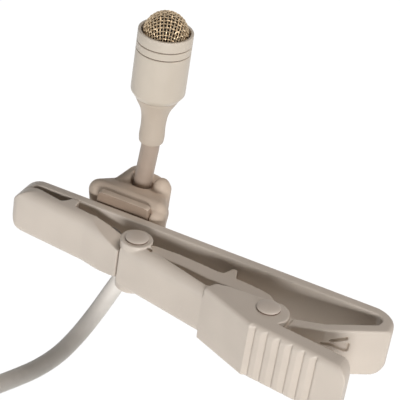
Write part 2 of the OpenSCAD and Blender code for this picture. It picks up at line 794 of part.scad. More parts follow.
// Threaded collar that turns on the plug's nose to lock it in its socket
module locking_collar() {
    flutes = 20;
    color(steel)
    on_plug(collar_y + collar_fit)
    difference() {
        rotate_extrude()
            polygon([[nose_r + collar_fit, 0], [collar_r - 0.3, 0], [collar_r, 0.3], [collar_r, 4.2],
                [collar_r - 0.8, 4.6], [collar_r - 0.8, collar_len], [3.1, collar_len],
                [3.1, collar_len - 1.4], [nose_r + collar_fit, collar_len - 1.4]]);
        for (i = [0:flutes - 1]) rotate([0, 0, i * 360 / flutes])
            translate([collar_r + 0.18, 0, 0.6]) cylinder(h = 3.3, r = 0.35, $fn = 16);
    }
}

module jack_sleeve() {
    color(steel)
    on_plug(nose_y)
    difference() {
        cylinder(h = jack_parts[1], r = jack_r);
        translate([0, 0, -1]) cylinder(h = jack_parts[1] + 2, r = jack_core_r + 0.5);
    }
}

module jack_ring() {
    color(steel)
    on_plug(nose_y + jack_parts[2])
    difference() {
        cylinder(h = jack_parts[3] - jack_parts[2], r = jack_r);
        translate([0, 0, -1]) cylinder(h = 5, r = jack_core_r);
    }
}

// Tip contact: its rounded point, waist and the core that runs back to the shell
module jack_tip() {
    tip_l = jack_len - jack_parts[4];
    color(steel)
    on_plug(nose_y)
    union() {
        cylinder(h = jack_len - 1, r = jack_core_r - 0.3);
        translate([0, 0, jack_parts[4]])
            rotate_extrude()
            polygon([[0, 0], [jack_r - 0.55, 0], [jack_r - 0.4, tip_l * 0.25],
                [jack_r, tip_l * 0.45], [jack_r - 0.1, tip_l * 0.6], [0.35, tip_l], [0, tip_l]]);
    }
}

module jack_insulators() {
    color("black")
    on_plug(nose_y) {
        difference() {
            union() {
                cylinder(h = jack_parts[2], r = jack_core_r + 0.5);
                translate([0, 0, jack_parts[1]])
                    cylinder(h = jack_parts[2] - jack_parts[1], r = jack_r);
                cylinder(h = jack_parts[3], r = jack_core_r);
                translate([0, 0, jack_parts[3]])
                    cylinder(h = jack_parts[4] - jack_parts[3], r = jack_r);
            }
            translate([0, 0, -1]) cylinder(h = jack_len, r = jack_core_r - 0.3);
        }
    }
}

clip_frame();
front_jaw();
lever();
front_pin();
rear_pin();
holder_stud();
holder_plate();
cable_holder();
capsule_housing();
grille_dome();
grille_seat();
acoustic_felt();
capsule_can();
diaphragm_ring();
diaphragm();
spacer_ring();
backplate();
insulator_cup();
capsule_board();
capsule_seal();
rear_body();
cable_stub();
cord_run();
cord_coil();
coil_tie();
plug_boot();
plug_shell();
locking_collar();
jack_sleeve();
jack_ring();
jack_tip();
jack_insulators();
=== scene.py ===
# %% [markdown]
# # A lavalier microphone on its lapel clip
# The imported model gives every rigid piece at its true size, in metres. This lesson puts a
# camera in front of it, lays out its lead, rounds off the mouldings, weaves the grille and
# gives every surface its finish.

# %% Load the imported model
import math

import bmesh
import bpy
from mathutils import Matrix, Vector


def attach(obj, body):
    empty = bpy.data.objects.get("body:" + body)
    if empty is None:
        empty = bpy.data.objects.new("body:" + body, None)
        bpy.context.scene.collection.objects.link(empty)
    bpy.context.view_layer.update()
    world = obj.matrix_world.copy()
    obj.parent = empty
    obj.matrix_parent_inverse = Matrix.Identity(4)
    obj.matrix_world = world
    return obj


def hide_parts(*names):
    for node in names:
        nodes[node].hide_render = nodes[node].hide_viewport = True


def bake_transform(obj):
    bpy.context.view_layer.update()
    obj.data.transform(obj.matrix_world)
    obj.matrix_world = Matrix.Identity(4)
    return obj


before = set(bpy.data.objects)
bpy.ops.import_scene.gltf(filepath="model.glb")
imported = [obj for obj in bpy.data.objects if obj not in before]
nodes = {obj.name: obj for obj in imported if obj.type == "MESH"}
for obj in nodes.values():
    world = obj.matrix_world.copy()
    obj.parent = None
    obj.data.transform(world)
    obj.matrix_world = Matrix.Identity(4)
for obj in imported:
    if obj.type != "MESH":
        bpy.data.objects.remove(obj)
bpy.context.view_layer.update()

mm = 0.001
mic_x, mic_y = 7.05, 6.35
bore = (6.75, 6.35)
print("pieces in the packed model:", len(nodes))


# %% [markdown]
# ## The camera
# A long lens close to the clip: the nose points away to the left and the thumb piece comes
# towards the lens. The three angles turn the camera round the clip, above it and about its
# own line of sight.

# %% Place the camera
def look(azimuth, elevation, roll):
    """The camera's axes: right, up and back, as the columns of a turn."""
    a, e, r = (math.radians(x) for x in (azimuth, elevation, roll))
    back = Vector((math.sin(a) * math.cos(e), -math.cos(a) * math.cos(e), math.sin(e)))
    level = Vector((math.cos(a), math.sin(a), 0))
    over = back.cross(level)
    right = level * math.cos(r) + over * math.sin(r)
    up = over * math.cos(r) - level * math.sin(r)
    return Matrix((right, up, back)).transposed()


lens = bpy.data.cameras.new("studio_camera")
lens.lens = 139.94
lens.sensor_width = 36
lens.clip_start = 0.005
lens.clip_end = 5
camera = bpy.data.objects.new("studio_camera", lens)
bpy.context.scene.collection.objects.link(camera)
place = look(20.094, 32.570, 9.202).to_4x4()
place.translation = Vector((59.158, -119.005, 88.709)) * mm
camera.matrix_world = place
bpy.context.scene.camera = camera
print("camera at", [round(x, 4) for x in camera.location])

# %% [markdown]
# ## Meshes from points
# Pieces are made from points. A profile is turned about an axis, or a section is swept along
# a line. Each way has one small helper, and both leave the object at the origin with its
# place in its mesh. The mouldings, further on, are worked from outlines.


# %% A mesh from points and faces
def piece_of(name, points, faces, material, crease=40):
    """A closed mesh piece at the origin, smooth except where faces meet at a sharp angle."""
    mesh = bpy.data.meshes.new(name)
    mesh.from_pydata([tuple(p) for p in points], [], faces)
    shape = bmesh.new()
    shape.from_mesh(mesh)
    bmesh.ops.remove_doubles(shape, verts=shape.verts, dist=1e-7)
    bmesh.ops.recalc_face_normals(shape, faces=shape.faces)
    shape.to_mesh(mesh)
    shape.free()
    mesh.materials.append(material)
    mesh.shade_smooth()
    mesh.set_sharp_from_angle(angle=math.radians(crease))
    made = bpy.data.objects.new(name, mesh)
    bpy.context.scene.collection.objects.link(made)
    return made


# %% A profile turned about an axis
def turned(name, profile, centre, material, axis="Z", steps=96, crease=40):
    """profile is a list of (radius, height) in mm, turned about an axis through centre."""
    points, rows = [], []
    for radius, height in profile:
        count = 1 if radius < 1e-6 else steps
        rows.append(range(len(points), len(points) + count))
        for k in range(count):
            a = 2 * math.pi * k / steps
            x, y, z = radius * math.cos(a), radius * math.sin(a), height
            points.append(Vector((x, y, z) if axis == "Z" else (x, z, -y)))
    faces = []
    for low, high in zip(rows, rows[1:] + rows[:1]):
        for k in range(steps):
            ring = [low[k % len(low)], low[(k + 1) % len(low)]]
            ring += [high[(k + 1) % len(high)], high[k % len(high)]]
            face = [v for i, v in enumerate(ring) if v not in ring[:i]]
            if len(face) > 2:
                faces.append(face)
    return piece_of(name, [(p + Vector(centre)) * mm for p in points], faces, material, crease)


def fillet(centre, radius, start, end, steps=6):
    """Points of a small arc in a profile, from one angle to another."""
    angles = [math.radians(start + (end - start) * i / steps) for i in range(steps + 1)]
    return [(centre[0] + radius * math.cos(a), centre[1] + radius * math.sin(a)) for a in angles]


# %% A smooth line through given points
def through(points, reach):
    """A smooth line through the points, in steps no longer than reach."""
    pts = [Vector(p) for p in points]
    pts = [2 * pts[0] - pts[1]] + pts + [2 * pts[-1] - pts[-2]]
    line = []
    for a, b, c, d in zip(pts, pts[1:], pts[2:], pts[3:]):
        count = max(1, math.ceil((c - b).length / reach))
        for i in range(count):
            t = i / count
            line.append(
                0.5
                * (2 * b + (c - a) * t + (2 * a - 5 * b + 4 * c - d) * t**2)
                + 0.5 * (3 * b - a - 3 * c + d) * t**3
            )
    return line + [pts[-2]]


# %% A section swept along a line
def swept(name, line, section, material, crease=40, closed=False):
    """section is a list of (side, up) in mm, carried along the line without twisting."""
    count = len(line)
    ahead = []
    for i in range(count):
        before = line[i - 1] if closed or i else line[0]
        after = line[(i + 1) % count] if closed or i + 1 < count else line[-1]
        ahead.append((after - before).normalized())
    side = ahead[0].cross(Vector((0, 0, 1)))
    if side.length < 0.1:
        side = Vector((1, 0, 0))
    points = []
    for p, t in zip(line, ahead):
        side = (side - t * side.dot(t)).normalized()
        over = side.cross(t)
        points += [(p + side * s + over * u) * mm for s, u in section]
    n = len(section)
    faces = []
    for i in range(count if closed else count - 1):
        a, b = i * n, ((i + 1) % count) * n
        faces += [[a + k, a + (k + 1) % n, b + (k + 1) % n, b + k] for k in range(n)]
    if not closed:
        last = (count - 1) * n
        faces += [list(range(n))[::-1], [last + k for k in range(n)]]
    return piece_of(name, points, faces, material, crease)


def round_section(radius, sides):
    """A round section for a cable."""
    angles = [2 * math.pi * k / sides for k in range(sides)]
    return [(radius * math.cos(a), radius * math.sin(a)) for a in angles]


# %% [markdown]
# ## Finishes
# The mouldings, the painted head and the cable are all one warm skin tone, so what tells
# them apart is the surface: a satin moulding with a faint orange peel, soft rubber with a
# bloom of fine dust, and a sheath that is a little smoother than the rubber. Each finish is a
# principled shader whose colour, roughness and bump are driven by noise in the object's own
# coordinates, at the scale of the real surface: a quarter of a millimetre for the peel and
# five or six millimetres for the drift in tone.


# %% Colours as they look on a screen
def tone(red, green, blue):
    """A screen colour, 0 to 255, as the linear colour that shaders use."""
    linear = [c / 12.92 if c <= 0.04045 else ((c + 0.055) / 1.055) ** 2.4
              for c in (red / 255, green / 255, blue / 255)]
    return (*linear, 1)


# %% A short way to write shader nodes
class Finish:
    """A material under construction: add() makes a node and sets its sockets."""

    def __init__(self, name):
        self.material = bpy.data.materials.new(name)
        self.material.use_nodes = True
        self.tree = self.material.node_tree
        self.tree.nodes.clear()
        self.out = self.add("ShaderNodeOutputMaterial")
        self.shader = self.add("ShaderNodeBsdfPrincipled")
        self.tree.links.new(self.shader.outputs[0], self.out.inputs[0])
        self.place = self.add("ShaderNodeTexCoord").outputs["Object"]

    def add(self, kind, sockets=None, **settings):
        node = self.tree.nodes.new(kind)
        for key, value in settings.items():
            setattr(node, key, value)
        for key, value in (sockets or {}).items():
            if isinstance(value, bpy.types.NodeSocket):
                self.tree.links.new(value, node.inputs[key])
            else:
                node.inputs[key].default_value = value
        return node

    def noise(self, scale, detail=3.0, stretch=None):
        place = self.place
        if stretch:
            place = self.add("ShaderNodeMapping", {"Vector": place, "Scale": stretch}).outputs[0]
        node = self.add("ShaderNodeTexNoise", {"Vector": place, "Scale": scale, "Detail": detail})
        return node.outputs["Fac"]

    def between(self, factor, low, high, start=0.3, end=0.7):
        """Turns a factor into a value or a colour between two others."""
        node = self.add("ShaderNodeMapRange", {"Value": factor, "From Min": start,
                                               "From Max": end, "To Min": low, "To Max": high})
        return node.outputs["Result"]

    def mix(self, factor, one, two):
        node = self.add("ShaderNodeMix", data_type="RGBA")
        for key, value in ((0, factor), (6, one), (7, two)):
            if isinstance(value, bpy.types.NodeSocket):
                self.tree.links.new(value, node.inputs[key])
            else:
                node.inputs[key].default_value = value
        return node.outputs[2]

    def bump(self, height, strength, depth):
        node = self.add("ShaderNodeBump", {"Height": height, "Strength": strength,
                                           "Distance": depth})
        self.tree.links.new(node.outputs[0], self.shader.inputs["Normal"])
        return node

    def use(self, **sockets):
        names = {"colour": "Base Color", "roughness": "Roughness", "metallic": "Metallic",
                 "sheen": "Sheen Weight", "coat": "Coat Weight", "soft": "Subsurface Weight",
                 "coat_roughness": "Coat Roughness", "level": "Specular IOR Level"}
        for key, value in sockets.items():
            socket = self.shader.inputs[names[key]]
            if isinstance(value, bpy.types.NodeSocket):
                self.tree.links.new(value, socket)
            else:
                socket.default_value = value
        return self


# %% Moulded and painted skin tones
def moulding(name, colour, rough=0.42, peel=0.10, drift=0.05):
    """Satin plastic or paint: a slow drift in tone, a few paler specks, a fine peel."""
    skin = Finish(name)
    base = tone(*colour)
    deep = tuple(c * (1 - drift) for c in base[:3]) + (1,)
    pale = tuple(min(1, c * (1 + drift)) for c in base[:3]) + (1,)
    slow = skin.between(skin.noise(180, 2), 0.0, 1.0)
    speck = skin.between(skin.noise(5200, 1), 0.0, 0.35, 0.62, 0.72)
    colour_now = skin.mix(speck, skin.mix(slow, deep, pale), pale)
    skin.use(colour=colour_now, roughness=skin.between(skin.noise(900, 3), rough - 0.05,
                                                       rough + 0.07))
    skin.bump(skin.noise(4200, 2), peel, 0.00004)
    return skin.material


clip_finish = moulding("clip_moulding", (216, 205, 193))
head_finish = moulding("head_paint", (214, 203, 188), rough=0.36, peel=0.05, drift=0.03)
sleeve_finish = moulding("sleeve_moulding", (205, 191, 175), rough=0.45, peel=0.06)
pin_finish = moulding("pin_paint", (212, 200, 188), rough=0.36, peel=0.05, drift=0.03)
# A dark brown that paints shade into the head's grooves and under the rivets' heads.
painted_shade_finish = moulding("rim_shade", (104, 86, 74), rough=0.7)
# A darker colour for the swivel plate's sides, whose top takes the holder's rubber: painted shade
# on the sides.
plate_side_shade = moulding("plate_painted_shade", (156, 136, 119), rough=0.5, peel=0.12)


# %% Soft rubber of the cable holder, and the cable's sheath
def soft_rubber(name, colour, rough=0.6):
    """Matt rubber with a dusty bloom that gathers unevenly."""
    rubber = Finish(name)
    base = tone(*colour)
    dull = tuple(c * 0.88 for c in base[:3]) + (1,)
    patch = rubber.between(rubber.noise(420, 4), 0.0, 1.0)
    rubber.use(colour=rubber.mix(patch, dull, base), sheen=0.08,
               roughness=rubber.between(rubber.noise(1300, 3), rough - 0.06, rough + 0.1))
    rubber.bump(rubber.noise(3600, 4), 0.16, 0.00005)
    return rubber.material


holder_finish = soft_rubber("holder_rubber", (213, 195, 177))
# The lead and the stub are one cable in two tones: the lead's sheath is made paler with painted
# light, and the stub's darker with painted shade.
sheath_painted_light = soft_rubber("cable_sheath_painted_light", (252, 248, 242), rough=0.46)
stub_painted_shade = soft_rubber("stub_sheath_painted_shade", (184, 166, 151), rough=0.46)
black_rubber = soft_rubber("boot_rubber", (38, 37, 36), rough=0.62)


# %% Metals
def metal(name, colour, rough, scratch=(1, 1, 1), grain=0.04):
    """Turned, drawn or plated metal with fine tool marks stretched along one way."""
    bare = Finish(name)
    base = tone(*colour)
    dull = tuple(c * 0.82 for c in base[:3]) + (1,)
    marks = bare.noise(2600, 4, stretch=scratch)
    bare.use(colour=bare.mix(bare.between(marks, 0.0, 1.0), dull, base), metallic=1.0,
             roughness=bare.between(marks, rough - 0.05, rough + 0.08))
    bare.bump(marks, grain, 0.00002)
    return bare.material


steel_finish = metal("turned_steel", (190, 190, 192), 0.32, (1, 1, 9))
shell_finish = metal("dark_chrome", (96, 96, 100), 0.22, (1, 9, 1))
collar_finish = metal("collar_chrome", (188, 188, 192), 0.2, (1, 9, 1))
gold_finish = metal("gold_plate", (226, 190, 116), 0.18, (1, 9, 1))
wire_finish = metal("grille_wire", (184, 164, 136), 0.38)
can_finish = metal("drawn_can", (200, 201, 203), 0.34, (9, 9, 1))
foil_finish = metal("diaphragm_film", (208, 206, 198), 0.2)


# %% Felt, strap and board
def fibres(name, colour, scale, fuzz=0.35):
    """Short fibres: dense crossed noise for colour and relief, with a soft sheen."""
    cloth = Finish(name)
    base = tone(*colour)
    dark = tuple(c * 0.5 for c in base[:3]) + (1,)
    hairs = cloth.noise(scale, 5, stretch=(1, 3.5, 1))
    cloth.use(colour=cloth.mix(cloth.between(hairs, 0.0, 1.0), dark, base), roughness=0.9,
              sheen=fuzz)
    cloth.bump(hairs, 0.5, 0.0001)
    return cloth.material


felt_finish = fibres("acoustic_foam", (44, 36, 30), 5200)
strap_finish = fibres("strap_weave", (52, 50, 50), 4200)
board_finish = moulding("board_laminate", (34, 92, 58), rough=0.4)
white_finish = moulding("insulator_white", (232, 230, 224), rough=0.4)
film_finish = moulding("spacer_film", (196, 150, 84), rough=0.3)
black_finish = moulding("insulator_black", (30, 30, 31), rough=0.35)
print("finishes made:", len(bpy.data.materials))

# %% [markdown]
# ## The lead
# The cable leaves the bottom of the holder, sags to the table and runs out of view, where
# the rest of it is wound into a neat coil with its plug beside it. A real lead like this is
# limp and just under two millimetres thick. The route is a run through given points, then
# turns that wind in and out in four layers. The run starts 0.3 mm to the side of the head's
# axis, because the cable leans on its way from the holder to the head.

# %% The run below the holder
cable = 1.9
table_z = -17.0
lay = table_z + cable / 2
coil_x, coil_y, coil_out = 16.0, -37.5, 16.6
layer_turns, coil_layers, turn_pitch, layer_pitch = 4.5, 4, 2.35, 2.37
coil_turns, turn_steps = layer_turns * coil_layers, 24
start = Vector((coil_x - coil_out, coil_y + 2, lay))
run = [(*bore, -4.6), (*bore, -6.2), (6.4, 5.8, -8.2), (5.7, 4.4, -10.3),
       (5.1, 2.4, -12.2), (4.4, 0.1, -14.0), (3.6, -2.4, -15.3), (2.6, -5.0, -15.9),
       (1.4, -7.6, lay), (0.2, -10.2, lay), (-0.9, -13.6, lay), (-1.7, -17.6, lay),
       (-2.0, -22.0, lay), (-1.7, -26.4, lay), (-1.1, -30.2, lay),
       (start.x, start.y + 2, lay), start]


# %% The turns of the coil
def wound_in(t):
    """How many turns in from the outside the cable is, after t turns."""
    m = t % (2 * layer_turns)
    return m if m < layer_turns else 2 * layer_turns - m


def climbed(t):
    """How many layers up the cable is, climbing in the half turn round each reversal."""
    height = 0.0
    for layer in range(1, coil_layers):
        s = min(1.0, max(0.0, (t - layer * layer_turns + 0.25) * 2))
        height += (1 - math.cos(math.pi * s)) / 2
    return height


def coil_point(t):
    """Where the cable is after t turns. Past the last full turn it leads off outwards."""
    reach = coil_out + turn_pitch * ((t - coil_turns) if t > coil_turns else -wound_in(t))
    a = 2 * math.pi * t
    return Vector((coil_x - reach * math.cos(a), coil_y - reach * math.sin(a),
                   lay + layer_pitch * climbed(t)))


last_step = round((coil_turns + 0.25) * turn_steps)
turns = [coil_point(i / turn_steps) for i in range(last_step + 1)]
leaving = turns[-1]
plug_x, plug_y, plug_z = coil_x + coil_out + 6.3, coil_y - 7, table_z + 4.6
across, along = plug_x - leaving.x - 8, plug_y - 2 - leaving.y
tail = [leaving + Vector((2, 0, 0))]
for i in range(5):
    a = math.radians(22.5 * i)
    sunk = (1 - math.cos(math.pi * i / 4)) / 2 * (plug_z - leaving.z)
    tail.append(leaving + Vector((8 + across * math.sin(a), along * (1 - math.cos(a)), sunk)))
tail.append(Vector((plug_x, plug_y, plug_z)))
route = [Vector(p) for p in run] + turns + tail

line = through(route, 0.7)
lead = swept("lead_cable", line, round_section(cable / 2, 14), sheath_painted_light)
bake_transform(lead)
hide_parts("cord_run", "cord_coil")
print("cable faces:", len(lead.data.polygons))

# %% [markdown]
# The coil is held by a strap of hook-and-loop tape. It is a flat band that goes round the
# stack of turns, so it is one rounded rectangle swept round a rounded loop.

# %% The strap round the coil
inner, outer = coil_out - turn_pitch * layer_turns - cable / 2, coil_out + cable / 2
top = lay + (coil_layers - 1) * layer_pitch + cable / 2
strap_at = Matrix.Rotation(math.radians(110), 3, "Z")
loop = [(inner - 0.37, table_z + 0.01)]
loop += fillet((inner + 0.43, top - 0.43), 0.8, 180, 90, 8)
loop += fillet((outer - 0.43, top - 0.43), 0.8, 90, 0, 8)
loop += [(outer + 0.37, table_z + 0.01)]
strap_line = [strap_at @ Vector((r, 0, 0)) + Vector((coil_x, coil_y, z)) for r, z in loop]
band = [(2.0, 0.2), (1.9, 0.25), (-1.9, 0.25), (-2.0, 0.2), (-2.0, -0.2), (-1.9, -0.25),
        (1.9, -0.25), (2.0, -0.2)]
strap = swept("coil_strap", through(strap_line, 1.0), band, strap_finish)
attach(strap, "frame")
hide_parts("coil_tie")

# %% [markdown]
# ## The woven grille
# The dome is pressed from a flat square weave, so its threads keep their spacing over the
# crown and close up towards the rim. Geometry Nodes suit it: one thread is a line, copied
# across the sheet, and one formula wraps the sheet over the dome and lifts each thread over
# one neighbour and under the next. The second family is the first one turned, with the
# lift reversed.


# %% A short way to write geometry nodes
class Nodes:
    """A geometry tree under construction, with named inputs for its sizes."""

    def __init__(self, name, sizes):
        self.tree = bpy.data.node_groups.new(name, "GeometryNodeTree")
        face = self.tree.interface
        face.new_socket("Geometry", in_out="INPUT", socket_type="NodeSocketGeometry")
        face.new_socket("Geometry", in_out="OUTPUT", socket_type="NodeSocketGeometry")
        for key, value in sizes.items():
            kind = "NodeSocketInt" if isinstance(value, int) else "NodeSocketFloat"
            face.new_socket(key, in_out="INPUT", socket_type=kind).default_value = value
        self.source = self.tree.nodes.new("NodeGroupInput")
        self.out = self.tree.nodes.new("NodeGroupOutput")
        self.sizes = sizes

    def size(self, key):
        return self.source.outputs[key]

    def add(self, kind, *values, **settings):
        """values go to the node's sockets in order; None leaves a socket alone."""
        node = self.tree.nodes.new(kind)
        for key, value in settings.items():
            setattr(node, key, value)
        free = [s for s in node.inputs if s.enabled]
        for socket, value in zip(free, values):
            if isinstance(value, bpy.types.NodeSocket):
                self.tree.links.new(value, socket)
            elif value is not None:
                socket.default_value = value
        return next(s for s in node.outputs if s.enabled)

    def join(self, output, sockets):
        """Sets sockets by their names on the node that output belongs to."""
        for key, value in sockets.items():
            if isinstance(value, bpy.types.NodeSocket):
                self.tree.links.new(value, output.node.inputs[key])
            else:
                output.node.inputs[key].default_value = value

    def sum(self, operation, *values):
        return self.add("ShaderNodeMath", *values, operation=operation)

    def made(self, name, geometry, material, crease=40):
        """Runs the tree on an empty mesh and keeps the result as a plain mesh piece."""
        whole = self.add("GeometryNodeRealizeInstances", geometry)
        whole = self.add("GeometryNodeSetMaterial", whole, None, material)
        self.tree.links.new(whole, self.out.inputs[0])
        seed = bpy.data.objects.new(name, bpy.data.meshes.new(name + "_seed"))
        bpy.context.scene.collection.objects.link(seed)
        modifier = seed.modifiers.new("nodes", "NODES")
        modifier.node_group = self.tree
        for item in self.tree.interface.items_tree:
            if item.in_out == "INPUT" and item.name in self.sizes:
                modifier[item.identifier] = self.sizes[item.name]
        graph = bpy.context.evaluated_depsgraph_get()
        mesh = bpy.data.meshes.new_from_object(seed.evaluated_get(graph))
        seed.modifiers.clear()
        seed.data = mesh
        mesh.name = name
        mesh.shade_smooth()
        mesh.set_sharp_from_angle(angle=math.radians(crease))
        return seed


# %% Weave the dome
mic = Vector((mic_x, mic_y, 0)) * mm
threads = 21
rim_z = 20.75
weave = Nodes("woven_dome", {"Dome radius": 2.17 * mm, "Thread pitch": 0.37 * mm,
                             "Wire radius": 0.074 * mm, "Lift": 0.05 * mm, "Threads": threads,
                             "Rim angle": 1.62})


def thread_family(lift_way):
    """One family of threads: lines along Y across the sheet, wrapped over the dome."""
    pitch, radius = weave.size("Thread pitch"), weave.size("Dome radius")
    half = weave.sum("MULTIPLY", pitch, (threads - 1) / 2)
    low = weave.add("ShaderNodeCombineXYZ", 0.0, weave.sum("MULTIPLY", half, -1.0), 0.0)
    high = weave.add("ShaderNodeCombineXYZ", 0.0, half, 0.0)
    thread = weave.add("GeometryNodeCurvePrimitiveLine", low, high)
    thread = weave.add("GeometryNodeResampleCurve", thread, None, 161)
    left = weave.add("ShaderNodeCombineXYZ", weave.sum("MULTIPLY", half, -1.0), 0.0, 0.0)
    step = weave.add("ShaderNodeCombineXYZ", pitch, 0.0, 0.0)
    across = weave.add("GeometryNodeMeshLine")
    weave.join(across, {"Count": weave.size("Threads"), "Start Location": left, "Offset": step})
    sheet = weave.add("GeometryNodeInstanceOnPoints", across, None, thread)
    sheet = weave.add("GeometryNodeRealizeInstances", sheet)
    at = weave.add("GeometryNodeInputPosition")
    split = weave.tree.nodes.new("ShaderNodeSeparateXYZ")
    weave.tree.links.new(at, split.inputs[0])
    s, t = split.outputs[0], split.outputs[1]
    out = weave.sum("SQRT", weave.sum("ADD", weave.sum("MULTIPLY", s, s),
                                      weave.sum("MULTIPLY", t, t)))
    angle = weave.sum("DIVIDE", out, radius)
    beat = weave.sum("MULTIPLY",
                     weave.sum("COSINE", weave.sum("DIVIDE", weave.sum("MULTIPLY", s, math.pi),
                                                   pitch)),
                     weave.sum("COSINE", weave.sum("DIVIDE", weave.sum("MULTIPLY", t, math.pi),
                                                   pitch)))
    lift = weave.sum("MULTIPLY", weave.sum("MULTIPLY", beat, weave.size("Lift")), lift_way)
    reach = weave.sum("ADD", radius, lift)
    side = weave.sum("DIVIDE", weave.sum("MULTIPLY", reach, weave.sum("SINE", angle)),
                     weave.sum("MAXIMUM", out, 1e-9))
    where = weave.add("ShaderNodeCombineXYZ", weave.sum("MULTIPLY", s, side),
                      weave.sum("MULTIPLY", t, side),
                      weave.sum("MULTIPLY", reach, weave.sum("COSINE", angle)))
    past = weave.add("FunctionNodeCompare", angle, weave.size("Rim angle"),
                     data_type="FLOAT", operation="GREATER_THAN")
    kept = weave.add("GeometryNodeDeleteGeometry", sheet, past, domain="POINT")
    dome = weave.add("GeometryNodeSetPosition", kept, None, where)
    ring = weave.add("GeometryNodeCurvePrimitiveCircle", 6)
    ring_node = ring.node
    weave.tree.links.new(weave.size("Wire radius"), ring_node.inputs["Radius"])
    solid = weave.tree.nodes.new("GeometryNodeCurveToMesh")
    weave.tree.links.new(dome, solid.inputs["Curve"])
    weave.tree.links.new(ring, solid.inputs["Profile Curve"])
    solid.inputs["Fill Caps"].default_value = True
    return solid.outputs[0]


lengthwise = thread_family(1.0)
crosswise = weave.tree.nodes.new("GeometryNodeTransform")
weave.tree.links.new(thread_family(-1.0), crosswise.inputs["Geometry"])
crosswise.inputs["Rotation"].default_value = (0, 0, math.pi / 2)
both = weave.tree.nodes.new("GeometryNodeJoinGeometry")
weave.tree.links.new(lengthwise, both.inputs[0])
weave.tree.links.new(crosswise.outputs[0], both.inputs[0])
turn = weave.tree.nodes.new("GeometryNodeTransform")
weave.tree.links.new(both.outputs[0], turn.inputs["Geometry"])
turn.inputs["Rotation"].default_value = (0, 0, math.radians(24))
turn.inputs["Translation"].default_value = mic + Vector((0, 0, (rim_z - 0.35) * mm))
grille = weave.made("woven_grille", turn.outputs[0], wire_finish)
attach(grille, "swivel")
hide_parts("grille_dome")
print("wires in the weave:", 2 * threads, "faces:", len(grille.data.polygons))

# %% [markdown]
# ## The head, its sleeve and the pins
# The head, its sleeve and the pins are turned shapes. On the real piece every corner is
# broken by a small radius that catches the light, so each is turned again here with its
# fillets. The head and its sleeve also stand 0.2 to 0.4 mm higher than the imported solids.

# %% The housing with its two grooves
chamfer_z, body_z = 13.45, 14.1
groove_low, groove_high = 18.72, 19.55
head_r, groove_r, cup_r, neck_r = 2.75, 2.66, 2.45, 1.14
housing = [(neck_r, chamfer_z), (2.2, chamfer_z), (2.3, chamfer_z + 0.04),
           (2.7, body_z - 0.07), (2.742, body_z + 0.04), (head_r, body_z + 0.12)]
for z in (groove_low, groove_high):
    housing += [(head_r, z - 0.08), (2.73, z - 0.06), (groove_r, z - 0.04),
                (groove_r, z + 0.04), (2.73, z + 0.06), (head_r, z + 0.08)]
housing += fillet((2.67, rim_z - 0.08), 0.08, 0, 90, 4)
housing += fillet((2.53, rim_z - 0.08), 0.08, 90, 180, 4)
housing += [(cup_r, rim_z - 2), (cup_r, 14.25), (neck_r, 14.25)]
head = turned("capsule_head", housing, (mic_x, mic_y, 0), head_finish, steps=128)
# Faces in the two grooves take the dark brown: painted shade in the grooves.
head.data.materials.append(painted_shade_finish)
for face in head.data.polygons:
    near = min(abs(face.center.z / mm - z) for z in (groove_low, groove_high))
    face.material_index = int(near < 0.045)
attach(head, "swivel")
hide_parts("capsule_housing")

# %% The tapered sleeve behind it
sleeve = [(0.96, 8.1)] + fillet((0.97, 8.4), 0.3, -88, -4, 6)
sleeve += [(1.31, 8.9), (1.30, 9.3), (1.265, 9.75), (1.262, 10.1), (1.28, 10.6), (1.32, 11.1),
           (1.40, 11.55), (1.52, 11.95), (1.68, 12.32), (1.86, 12.65), (2.05, 13.0),
           (2.2, 13.28), (2.24, 13.44), (neck_r, 13.45), (neck_r, 14.15), (0.96, 14.15)]
tail_sleeve = turned("rear_sleeve", sleeve, (mic_x, mic_y, 0), sleeve_finish)
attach(tail_sleeve, "swivel")
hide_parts("rear_body")

# %% The short cable between the head and the holder
held = [(*bore, -4.6), (*bore, 2.6), (6.78, mic_y, 3.6), (7.02, mic_y, 7.0),
        (mic_x, mic_y, 8.0), (mic_x, mic_y, 13.7)]
stub = swept("held_cable", through(held, 0.5), round_section(cable / 2, 40), stub_painted_shade)
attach(stub, "swivel")
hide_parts("cable_stub")


# %% The two riveted pins
def rivet(name, node, x, y, half):
    """A shaft with a low domed head at each end, with painted shade under its rim."""
    dome = [(0.0, 0.34), (0.4, 0.33), (0.75, 0.295), (1.0, 0.235), (1.12, 0.185), (1.17, 0.14),
            (1.17, 0.0), (0.55, 0.0)]
    profile = [(r, half + h) for r, h in dome] + [(r, -half - h) for r, h in dome[::-1]]
    made = turned(name, profile, (x, y, 0), pin_finish, steps=64)
    # Faces under each head's rim take the dark brown: painted shade.
    made.data.materials.append(painted_shade_finish)
    for face in made.data.polygons:
        out = (face.center / mm - Vector((x, y, 0))).xy.length
        face.material_index = int(out > 1.14 and abs(face.center.z / mm) < half + 0.13)
    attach(made, "lever")
    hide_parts(node)
    return made


front_rivet = rivet("front_rivet", "front_pin", 10.8, -2.8, 2.8)
rear_rivet = rivet("rear_rivet", "rear_pin", 26.25, -5.95, 3.05)
print("turned pieces:", head.name, tail_sleeve.name, stub.name, front_rivet.name, rear_rivet.name)

# %% [markdown]
# ## The mouldings
# The frame, the jaw, the lever and the soft holder are worked out from flat outlines, as a
# mould maker would: an outline in plan gives the walls, a second outline seen from the side
# rounds the ends, and holes and slots are taken away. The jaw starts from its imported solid.
# In plan, the pins are at pin_a and pin_b.

# %% Solids from outlines
X, Y, Z = Vector((1, 0, 0)), Vector((0, 1, 0)), Vector((0, 0, 1))


